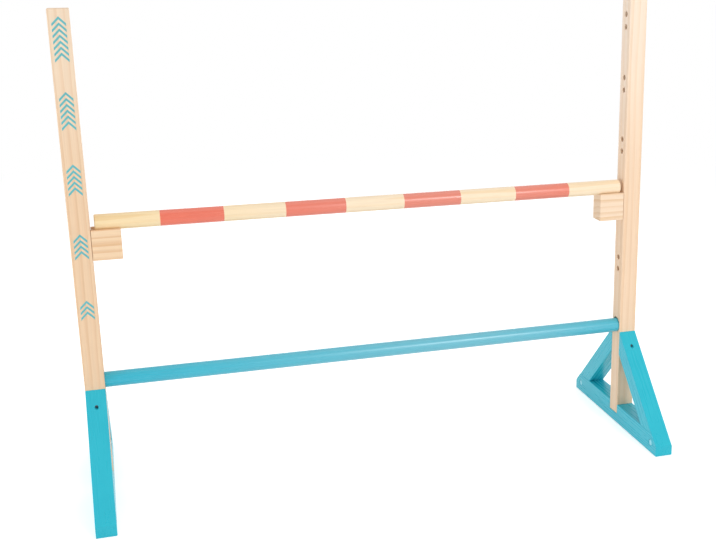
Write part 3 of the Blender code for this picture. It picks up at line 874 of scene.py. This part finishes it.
# %% Stretcher
BAR_CHAMFER = 1.5 * MM
stretcher_length = stretcher_high.x - stretcher_low.x
stretcher = rod("stretcher_bar_painted", round_bar_rings(BAR_RADIUS, stretcher_length, BAR_CHAMFER),
                (stretcher_low.x, 0, STRETCHER_HEIGHT), (1, 0, 0), BAR_SIDES)
finish(stretcher, TURQUOISE_BAR, "stands", "turquoise_paint", "stretcher_bar")

# %% [markdown]
# The loose crossbar is the same dowel, 995 mm long, in nine equal bands. Every second band was
# masked and sprayed coral, so each painted band stands a paint film proud of the bare wood. A
# pattern in the material could draw the bands, but rings of the rod keep their edges crisp and
# give the film its step. Their faces get the paint by where they lie along the bar.

# %% Crossbar
BANDS = 9
FILM = 0.08 * MM
low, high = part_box("crossbar")
BAR_START, BAR_LENGTH = low.x, high.x - low.x
BAR_HEIGHT = (low.z + high.z) / 2
BAND = BAR_LENGTH / BANDS


def crossbar_rings():
    """Rings of the crossbar: two at each edge of a band, where the paint film starts or stops."""
    rings = [(BAR_RADIUS - BAR_CHAMFER, 0), (BAR_RADIUS, BAR_CHAMFER)]
    for band in range(1, BANDS):
        limit = band * BAND
        films = (0, FILM) if band % 2 else (FILM, 0)
        rings += [(BAR_RADIUS + film, limit) for film in films]
    return rings + [(BAR_RADIUS, BAR_LENGTH - BAR_CHAMFER), (BAR_RADIUS - BAR_CHAMFER, BAR_LENGTH)]


crossbar = rod("crossbar_banded", crossbar_rings(), (BAR_START, 0, BAR_HEIGHT), (1, 0, 0), BAR_SIDES)
finish(crossbar, PINE_BAR, "crossbar_body", "banded_pine", "crossbar")
crossbar.data.materials.append(CORAL)
for face in crossbar.data.polygons:
    face.material_index = int((face.center.x - BAR_START) / BAND) % 2

# %% [markdown]
# Each support block is a short piece of pine with its grain lying along the bar. A groove across
# its top cradles the crossbar. It plugs into a pair of sockets with two beech pegs, which are
# glued into the block and stand 25 mm out of it.

# %% Support blocks and pegs
BLOCK_EASED = 1.2 * MM
PEG_RADIUS = 5 * MM
PEG_CHAMFER = 1.2 * MM


def make_block(side, sign):
    """A support block with its groove, and the two pegs that are glued into it."""
    node = f"{side}_support_block"
    low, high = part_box(node)
    block = stick(f"{node}_timber", low, high)
    round_edges(block, BLOCK_EASED)
    cutters = [rod("groove", [(BAR_RADIUS + GAP, -STOCK), (BAR_RADIUS + GAP, 3 * STOCK)],
                   (low.x, 0, BAR_HEIGHT), (1, 0, 0), BAR_SIDES)]
    for row in ("lower", "upper"):
        peg_low, peg_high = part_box(f"{side}_{row}_peg")
        height = (peg_low.z + peg_high.z) / 2
        length = peg_high.x - peg_low.x
        cutters.append(rod("peg_hole", [(PEG_RADIUS + GAP, -GAP), (PEG_RADIUS + GAP, length / 2)],
                           (high.x if sign > 0 else low.x, 0, height), (-sign, 0, 0), PIN_SIDES))
        peg = rod(f"{side}_{row}_peg_beech", round_bar_rings(PEG_RADIUS, length, PEG_CHAMFER),
                  (peg_low.x, 0, height), (1, 0, 0), PIN_SIDES)
        finish(peg, BEECH, f"{side}_block", "beech", f"{side}_{row}_peg")
    cut_away(block, cutters)
    finish(block, PINE_BLOCK[side], f"{side}_block", "pine", node)


for side, sign in SIDES.items():
    make_block(side, sign)

# %% [markdown]
# A studio table photographed on white: the floor is a pale matt sheet. What the camera, a mirror
# or glass sees of it is lifted to white, and it fades into the white behind it with distance, but
# it keeps the soft shadow of the hurdle. The world behind needs the same test of what is seen, so
# that test is a function of its own.

# %% Floor
FLOOR_SIZE = 30.0
FLOOR_DROP = 0.5 * MM
FLOOR_TONE = "#F6F6F6"
FLOOR_LIFT = 0.44
FADE_START, FADE_END = 1.2, 3.5         # metres from the middle


def direct_view(tree):
    """1 for what the camera, a mirror or glass sees, and 0 for the light that falls on things."""
    rays = add_node(tree, "LightPath")
    seen = add_node(tree, "Math", {0: rays.outputs["Is Camera Ray"], 1: rays.outputs["Is Glossy Ray"]},
                    operation="MAXIMUM")
    return add_node(tree, "Math", {0: seen.outputs[0], 1: rays.outputs["Is Transmission Ray"]},
                    operation="MAXIMUM")


def floor_material():
    """Matt white paper that is lifted to white and fades into the surroundings."""
    material, tree = new_material("matt_white_floor")
    place = add_node(tree, "TexCoord")
    distance = add_node(tree, "VectorMath", {0: place.outputs["Object"]}, operation="LENGTH")
    far = add_node(tree, "MapRange", {"Value": distance.outputs["Value"], "From Min": FADE_START,
                                      "From Max": FADE_END}, interpolation_type="SMOOTHSTEP")
    seen = direct_view(tree)
    lift = add_node(tree, "Math", {0: seen.outputs[0], 1: FLOOR_LIFT}, operation="MULTIPLY")
    paper = add_node(tree, "BsdfDiffuse", {"Color": linear(FLOOR_TONE)})
    glow = add_node(tree, "Emission", {"Color": WHITE, "Strength": lift.outputs[0]})
    lifted = add_node(tree, "AddShader", {0: paper.outputs[0], 1: glow.outputs[0]})
    white = add_node(tree, "Emission", {"Color": WHITE, "Strength": 1.0})
    fade = add_node(tree, "Math", {0: far.outputs[0], 1: seen.outputs[0]}, operation="MULTIPLY")
    sheet = add_node(tree, "MixShader", {0: fade.outputs[0], 1: lifted.outputs[0], 2: white.outputs[0]})
    put_out(tree, sheet)
    return material


bpy.ops.object.select_all(action="DESELECT")
bpy.ops.mesh.primitive_plane_add(size=FLOOR_SIZE, location=(0, 0, -FLOOR_DROP))
floor = settle(bpy.context.object, "studio_floor")
floor.data.materials.append(floor_material())
print("floor", FLOOR_SIZE, "m")

# %% [markdown]
# The light is soft and frontal. An even white surrounding fills every face. A tall soft box stands
# in front on the right and gives both bars their sheen, and a small bright one just before it the
# thin highlight. A wide one hangs overhead, one low behind the hurdle keeps its back from going
# grey, and a slightly cooler one stands far to the left.

# %% World and lamps
SURROUND = 0.67
COOL_WHITE = (0.92, 1.0, 1.12)


def white_studio():
    """A world that is seen as white, and lights the hurdle at two thirds of that."""
    world = bpy.data.worlds.new("white_studio")
    world.use_nodes = True
    tree = world.node_tree
    tree.nodes.clear()
    seen = direct_view(tree)
    level = add_node(tree, "MapRange", {"Value": seen.outputs[0], "To Min": SURROUND, "To Max": 1.0})
    sky = add_node(tree, "Background", {"Color": WHITE, "Strength": level.outputs[0]})
    add_node(tree, "OutputWorld", {"Surface": sky.outputs[0]})
    return world


def soft_box(name, place, target, width, height, power, colour=(1, 1, 1)):
    """A rectangular lamp in metres and watts that looks from place to target."""
    bpy.ops.object.select_all(action="DESELECT")
    bpy.ops.object.light_add(type="AREA", location=place)
    lamp = bpy.context.object
    lamp.name = name
    lamp.data.shape = "RECTANGLE"
    lamp.data.size = width
    lamp.data.size_y = height
    lamp.data.energy = power
    lamp.data.color = colour
    lamp.rotation_euler = (Vector(target) - Vector(place)).to_track_quat("-Z", "Y").to_euler()
    print(f"{name}: {power} W, {width} by {height} m")


bpy.context.scene.world = white_studio()
soft_box("tall_key", (0.75, -2.0, 1.1), (0.3, 0, 0.55), width=0.9, height=1.8, power=8)
soft_box("core_of_key", (0.85, -1.95, 1.35), (0.2, 0, 0.4), width=0.35, height=0.35, power=9.5)
soft_box("overhead", (0, 0.2, 2.6), (0, 0.1, 0), width=2.4, height=1.6, power=8)
soft_box("back_fill", (0.6, 2.4, 0.5), (0.1, 0, 0.3), width=1.6, height=0.9, power=9)
soft_box("left_fill", (-2.4, -0.5, 0.35), (0, 0, 0.3), width=0.8, height=0.8, power=16,
         colour=COOL_WHITE)
bpy.context.scene.view_settings.view_transform = "Standard"

# %% [markdown]

# %% End
print("hurdle dressed")
